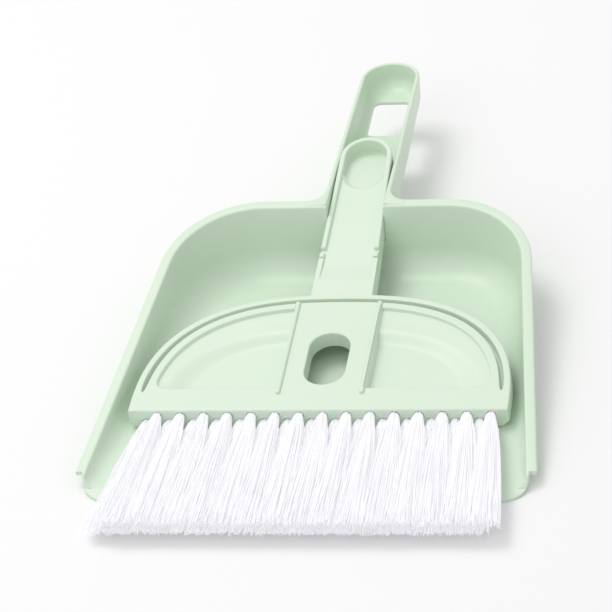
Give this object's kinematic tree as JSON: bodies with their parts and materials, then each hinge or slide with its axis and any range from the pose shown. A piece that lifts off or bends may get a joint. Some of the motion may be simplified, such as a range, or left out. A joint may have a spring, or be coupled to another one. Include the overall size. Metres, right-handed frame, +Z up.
{
  "type": "dustpan and hand brush",
  "caption": "Pale mint dustpan with a flanged sloping rim and channel handle, and a wide hand brush with white bristles nested in it; both have hanging holes.",
  "frame": {"origin": "under the middle of the whole set, on the surface it rests on", "axes": "+Y from the bristle tips past the lip to the end of the handle, +X to the right when looking along +Y, +Z up"},
  "size_m": [0.2256, 0.3637, 0.0452],
  "materials": {
    "pan_plastic": "pale mint moulded plastic, satin",
    "brush_plastic": "pale mint moulded plastic, satin",
    "bristle": "white plastic bristle",
    "staple_steel": "flat drawn wire"
  },
  "bodies": {
    "dustpan": {"dustpan": "pan_plastic"},
    "brush": {"brush_body": "brush_plastic", "staples_lower": "staple_steel", "staples_upper": "staple_steel", "tuft_lower_01": "bristle", "tuft_lower_02": "bristle", "tuft_lower_03": "bristle", "tuft_lower_04": "bristle", "tuft_lower_05": "bristle", "tuft_lower_06": "bristle", "tuft_lower_07": "bristle", "tuft_lower_08": "bristle", "tuft_lower_09": "bristle", "tuft_lower_10": "bristle", "tuft_lower_11": "bristle", "tuft_lower_12": "bristle", "tuft_lower_13": "bristle", "tuft_lower_14": "bristle", "tuft_lower_15": "bristle", "tuft_upper_01": "bristle", "tuft_upper_02": "bristle", "tuft_upper_03": "bristle", "tuft_upper_04": "bristle", "tuft_upper_05": "bristle", "tuft_upper_06": "bristle", "tuft_upper_07": "bristle", "tuft_upper_08": "bristle", "tuft_upper_09": "bristle", "tuft_upper_10": "bristle", "tuft_upper_11": "bristle", "tuft_upper_12": "bristle", "tuft_upper_13": "bristle", "tuft_upper_14": "bristle", "tuft_upper_15": "bristle"}
  },
  "joints": [
    {"name": "brush_lift", "type": "slide", "parent": "dustpan", "child": "brush", "axis": [0, 0, 1], "range_m": [0, 0.12]}
  ]
}
